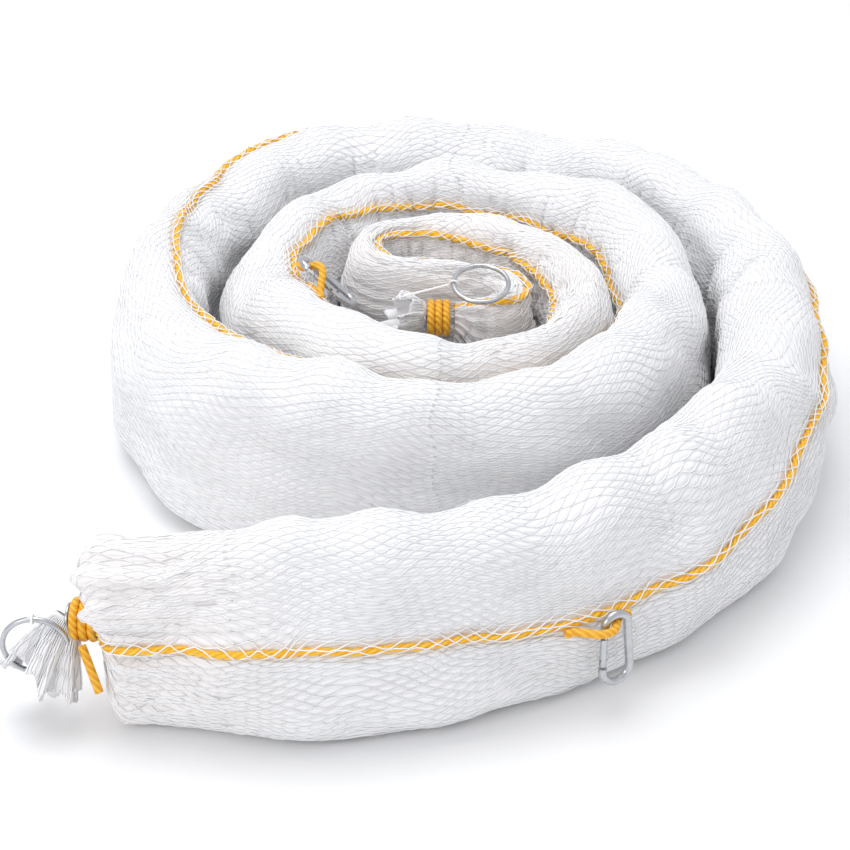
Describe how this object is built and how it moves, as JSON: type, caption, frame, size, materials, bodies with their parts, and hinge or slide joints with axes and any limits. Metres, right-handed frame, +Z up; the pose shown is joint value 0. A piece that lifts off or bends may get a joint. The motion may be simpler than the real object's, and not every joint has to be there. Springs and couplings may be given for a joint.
{
  "type": "rolled sorbent boom",
  "caption": "Long packed net sausage rolled into a flat spiral, tied at both ends, with a rope along it, a steel ring at each end and two snap hooks.",
  "frame": {"origin": "middle of the bounding box's foot, on the floor", "axes": "+Z up, the coil lies flat; the tail with the outer ring runs along -X at the -Y side"},
  "size_m": [0.6254, 0.7406, 0.1518],
  "materials": {
    "net": "knitted white polypropylene net",
    "fleece": "white spunbond fleece",
    "fibre": "loose melt-blown fibre",
    "rope": "laid yellow polypropylene rope",
    "zinc": "bright zinc-plated steel",
    "spring": "spring steel"
  },
  "bodies": {
    "boom": {"inner_neck_clip": "zinc", "inner_neck_tie": "rope", "inner_net_frill": "net", "inner_ring_strand": "net", "inner_sock": "fleece", "net_sleeve_01": "net", "net_sleeve_02": "net", "net_sleeve_03": "net", "net_sleeve_04": "net", "net_sleeve_05": "net", "net_sleeve_06": "net", "net_sleeve_07": "net", "net_sleeve_08": "net", "net_sleeve_09": "net", "net_sleeve_10": "net", "net_sleeve_11": "net", "net_sleeve_12": "net", "net_sleeve_13": "net", "net_sleeve_14": "net", "outer_neck_clip": "zinc", "outer_neck_tie": "rope", "outer_net_frill": "net", "outer_ring_strand": "net", "outer_rope_end": "rope", "sorbent_core": "fibre", "tow_rope": "rope", "tow_rope_inner_end": "rope", "tow_rope_outer_end": "rope"},
    "outer_ring": {"outer_ring": "zinc"},
    "inner_ring": {"inner_ring": "zinc"},
    "outer_hook": {"outer_hook_body": "zinc", "outer_hook_pin": "zinc", "outer_rope_bight": "rope"},
    "outer_gate": {"outer_hook_gate": "zinc", "outer_hook_spring": "spring"},
    "inner_hook": {"inner_hook_body": "zinc", "inner_hook_pin": "zinc", "inner_rope_bight": "rope"},
    "inner_gate": {"inner_hook_gate": "zinc", "inner_hook_spring": "spring"}
  },
  "joints": [
    {"name": "outer_ring_swing", "type": "hinge", "parent": "boom", "child": "outer_ring", "pos_m": [-0.28873, -0.32535, 0.083], "axis": [-1, 0, 0], "range_deg": [0, 80]},
    {"name": "inner_ring_lift", "type": "hinge", "parent": "boom", "child": "inner_ring", "pos_m": [-0.00311, 0.05171, 0.134], "axis": [0, -0.9744, -0.225], "range_deg": [0, 80]},
    {"name": "outer_hook_swing", "type": "hinge", "parent": "boom", "child": "outer_hook", "pos_m": [0.10026, -0.30738, 0.07], "axis": [-0.8731, -0.4876, 0], "range_deg": [0, 35]},
    {"name": "outer_gate_open", "type": "hinge", "parent": "outer_hook", "child": "outer_gate", "pos_m": [0.09511, -0.31996, 0.04202], "axis": [-0.4864, 0.871, -0.0698], "range_deg": [0, 18], "stiffness_Nm_per_rad": 0.05, "springref_deg": -8.59},
    {"name": "inner_hook_lift", "type": "hinge", "parent": "boom", "child": "inner_hook", "pos_m": [-0.12264, 0.06219, 0.13898], "axis": [0.4069, -0.9015, -0.1474], "range_deg": [0, 45]},
    {"name": "inner_gate_open", "type": "hinge", "parent": "inner_hook", "child": "inner_gate", "pos_m": [-0.09896, 0.04337, 0.13175], "axis": [-0.6345, -0.1629, -0.7556], "range_deg": [0, 18], "stiffness_Nm_per_rad": 0.05, "springref_deg": -8.59}
  ]
}
